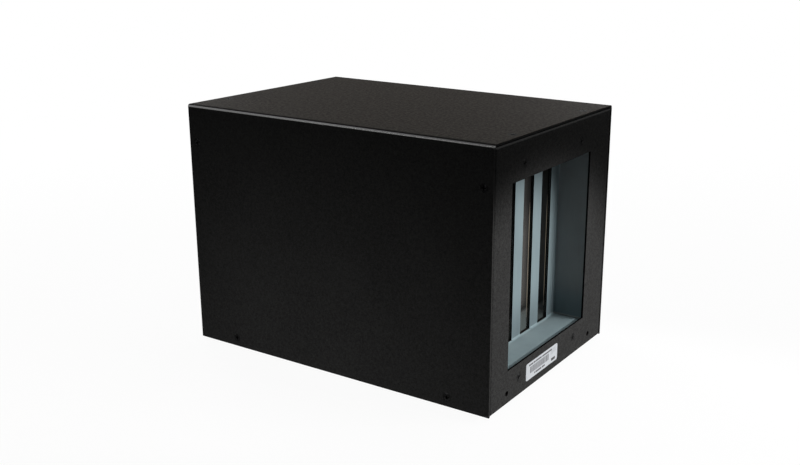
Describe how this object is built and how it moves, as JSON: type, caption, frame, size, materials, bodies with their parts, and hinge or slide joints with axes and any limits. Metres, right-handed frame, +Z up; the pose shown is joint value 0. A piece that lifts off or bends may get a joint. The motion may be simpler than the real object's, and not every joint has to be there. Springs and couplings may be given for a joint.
{
  "type": "pci expansion chassis",
  "caption": "Black sheet-steel box for plug-in cards, with a recessed grey slot bay behind a window in one end and a fan, switch and sockets at the other.",
  "frame": {"origin": "on the ground under the middle of the part", "axes": "+Z up, +X out of the slot end, the long sides face -Y and +Y"},
  "size_m": [0.2311, 0.155, 0.164],
  "materials": {
    "black_coat": "fine-textured black powder coat",
    "zinc_grey": "matt light grey coated sheet",
    "bright_plate": "bright plated steel",
    "black_screw": "black oxide steel",
    "plain_screw": "zinc-plated steel",
    "foot_rubber": "black rubber",
    "label_paper": "white label film",
    "board_green": "green solder mask on glass-fibre board",
    "ivory_plastic": "ivory moulded plastic",
    "brass": "plain brass",
    "chip_black": "black moulding compound",
    "cap_sleeve": "dark sleeve",
    "fan_black": "black moulded plastic",
    "copper": "enamelled copper windings",
    "black_plastic": "black moulded plastic",
    "led_lens": "tinted clear lens"
  },
  "bodies": {
    "box": {"cover": "black_coat", "front_panel": "black_coat", "rear_panel": "black_coat", "base_tray": "black_coat", "slot_bay": "zinc_grey", "slot_cover_1": "bright_plate", "slot_cover_2": "bright_plate", "slot_cover_3": "bright_plate", "slot_cover_4": "bright_plate", "slot_cover_screws": "plain_screw", "slot_bay_screws": "black_screw", "cover_screws": "black_screw", "panel_screws": "black_screw", "foot_1": "foot_rubber", "foot_2": "foot_rubber", "foot_3": "foot_rubber", "foot_4": "foot_rubber", "label": "label_paper", "backplane_board": "board_green", "board_standoffs": "brass", "board_screws": "plain_screw", "pci_slot_1": "ivory_plastic", "pci_slot_2": "ivory_plastic", "pci_slot_3": "ivory_plastic", "pci_slot_4": "ivory_plastic", "bridge_chip": "chip_black", "capacitors": "cap_sleeve", "fan_header": "ivory_plastic", "fan_frame": "fan_black", "fan_stator": "copper", "fan_screws": "black_screw", "dc_jack": "black_plastic", "dc_jack_pin": "plain_screw", "link_shell": "plain_screw", "link_insert": "black_plastic", "switch_body": "black_plastic", "switch_terminals": "brass", "power_led": "led_lens"},
    "fan": {"fan_rotor": "fan_black"},
    "rocker": {"switch_rocker": "black_plastic"}
  },
  "joints": [
    {"name": "fan_spin", "type": "hinge", "parent": "box", "child": "fan", "pos_m": [-0.1, 0, 0.101], "axis": [1, 0, 0], "continuous": true},
    {"name": "switch_rock", "type": "hinge", "parent": "box", "child": "rocker", "pos_m": [-0.1097, 0.054, 0.04], "axis": [0, -1, 0], "range_deg": [0, 16]}
  ]
}
